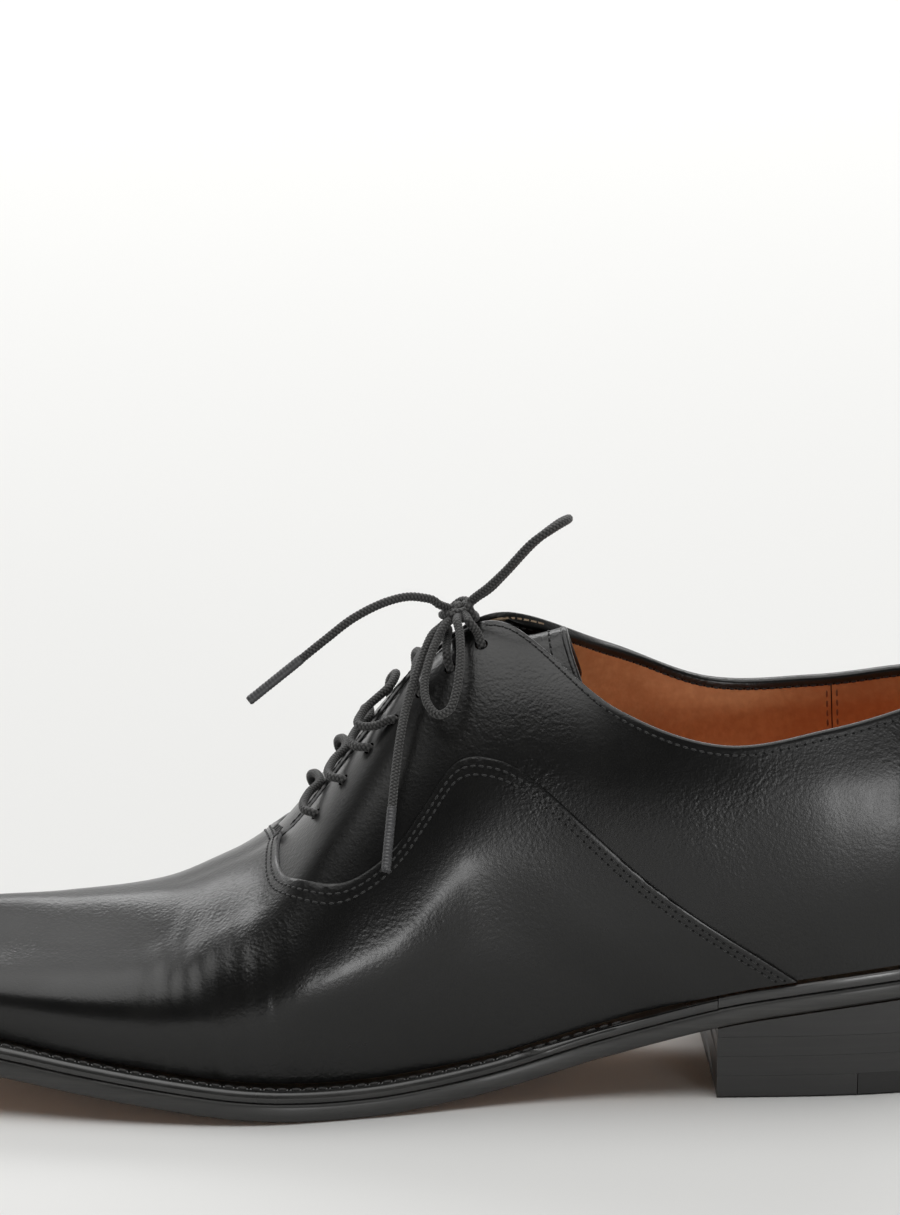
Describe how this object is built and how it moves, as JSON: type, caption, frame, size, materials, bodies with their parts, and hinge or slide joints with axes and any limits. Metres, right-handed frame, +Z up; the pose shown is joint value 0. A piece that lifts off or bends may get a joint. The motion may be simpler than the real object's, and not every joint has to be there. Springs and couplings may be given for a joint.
{
  "type": "leather oxford shoe",
  "caption": "Left dress shoe in black leather with closed lacing, a tied lace, hinged tongue, welted sole and stacked heel.",
  "frame": {"origin": "middle of the heel's bottom face, which rests on the ground", "axes": "+X towards the toe, +Y to the wearer's left (the lateral side of this left shoe), +Z up"},
  "size_m": [0.2975, 0.101, 0.1371],
  "materials": {
    "calf": "polished black calf, fine grain",
    "lining": "natural tan vegetable-tanned lining leather, matt",
    "board": "undyed leather board, matt",
    "cork": "granulated cork, matt",
    "shank_steel": "brushed",
    "welt_leather": "black dyed and waxed edge, semi-gloss",
    "sole_leather": "black dyed sole leather, waxed edge, semi-matt",
    "heel_rubber": "matt black rubber",
    "lace_cotton": "round braided waxed cotton, satin",
    "aglet_plastic": "dark clear plastic tube over the braid"
  },
  "bodies": {
    "shoe": {"vamp": "calf", "quarter_lateral": "calf", "quarter_medial": "calf", "back_strip": "calf", "vamp_lining": "lining", "quarter_lining_lateral": "lining", "quarter_lining_medial": "lining", "heel_lining": "lining", "heel_sock": "lining", "toe_puff": "board", "heel_counter": "board", "facing_stay_lateral": "board", "facing_stay_medial": "board", "insole": "board", "insole_rib": "board", "seat_filler": "board", "cork_filler": "cork", "shank": "shank_steel", "welt": "welt_leather", "heel_rand": "welt_leather", "outsole": "sole_leather", "heel_wedge": "sole_leather", "heel_lift_upper": "sole_leather", "heel_lift_lower": "sole_leather", "top_piece": "sole_leather", "quarter_tip": "heel_rubber", "lace_bar_1": "lace_cotton", "lace_bar_2": "lace_cotton", "lace_bar_3": "lace_cotton", "lace_bar_4": "lace_cotton", "lace_bar_5": "lace_cotton", "lace_bar_6": "lace_cotton", "lace_riser_lateral": "lace_cotton", "lace_riser_medial": "lace_cotton", "lace_knot": "lace_cotton", "lace_loop_up": "lace_cotton", "lace_loop_down": "lace_cotton", "lace_end_front": "lace_cotton", "lace_end_side": "lace_cotton", "aglet_front": "aglet_plastic", "aglet_side": "aglet_plastic"},
    "tongue": {"tongue": "calf", "tongue_lining": "lining"}
  },
  "joints": [
    {"name": "tongue_hinge", "type": "hinge", "parent": "shoe", "child": "tongue", "pos_m": [0.145, 0, 0.0495], "axis": [0, -1, 0], "range_deg": [0, 12]}
  ]
}
